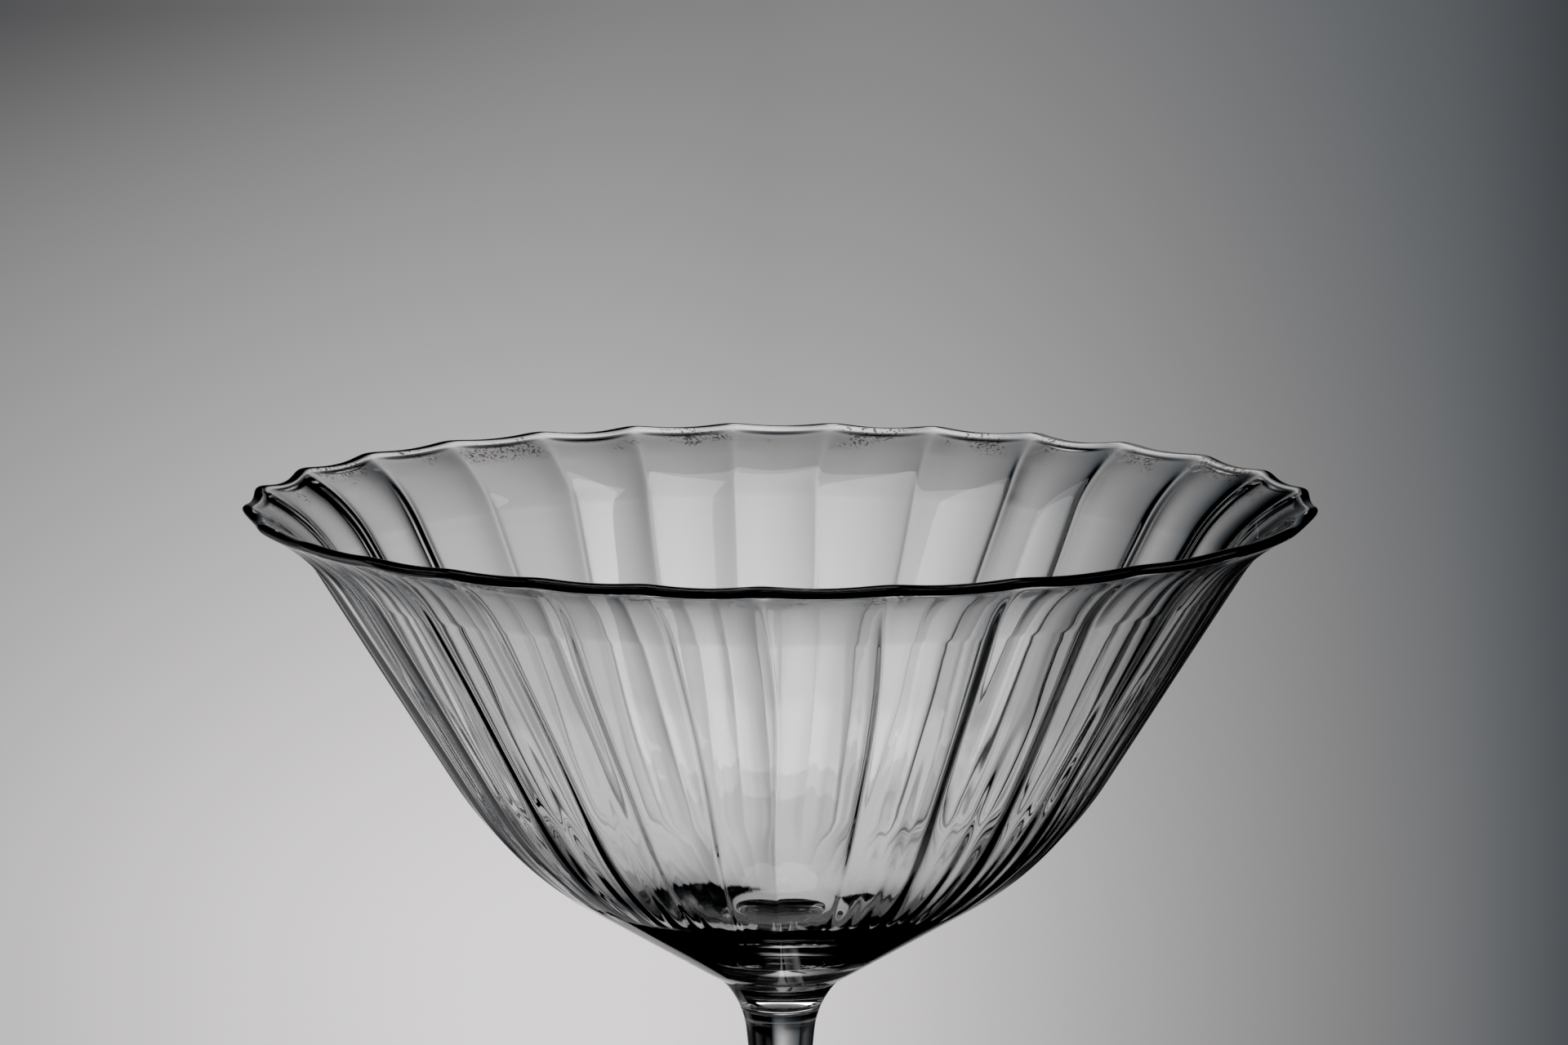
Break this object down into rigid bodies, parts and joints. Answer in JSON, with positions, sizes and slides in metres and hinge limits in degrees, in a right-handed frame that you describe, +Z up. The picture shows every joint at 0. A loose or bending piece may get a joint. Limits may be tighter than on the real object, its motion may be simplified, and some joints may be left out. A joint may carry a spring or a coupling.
{
  "type": "footed bowl",
  "caption": "Stemmed clear-glass bowl with a ribbed, cone-shaped body, a flared scalloped rim, a short collar, a slender drawn stem and a round foot, for serving drinks or desserts.",
  "frame": {"origin": "middle of the foot's underside, on the plane that the foot stands on", "axes": "+Z up along the stem's axis towards the rim; X and Y level, the bowl being round"},
  "size_m": [0.1158, 0.1158, 0.128],
  "materials": {
    "ribbed_glass": "clear blown glass, fire-polished, optic ribs, faint wear along the rim",
    "clear_glass": "clear drawn glass, fire-polished"
  },
  "bodies": {
    "root": {"bowl": "ribbed_glass", "collar": "clear_glass", "stem": "clear_glass", "foot": "clear_glass"}
  },
  "joints": []
}
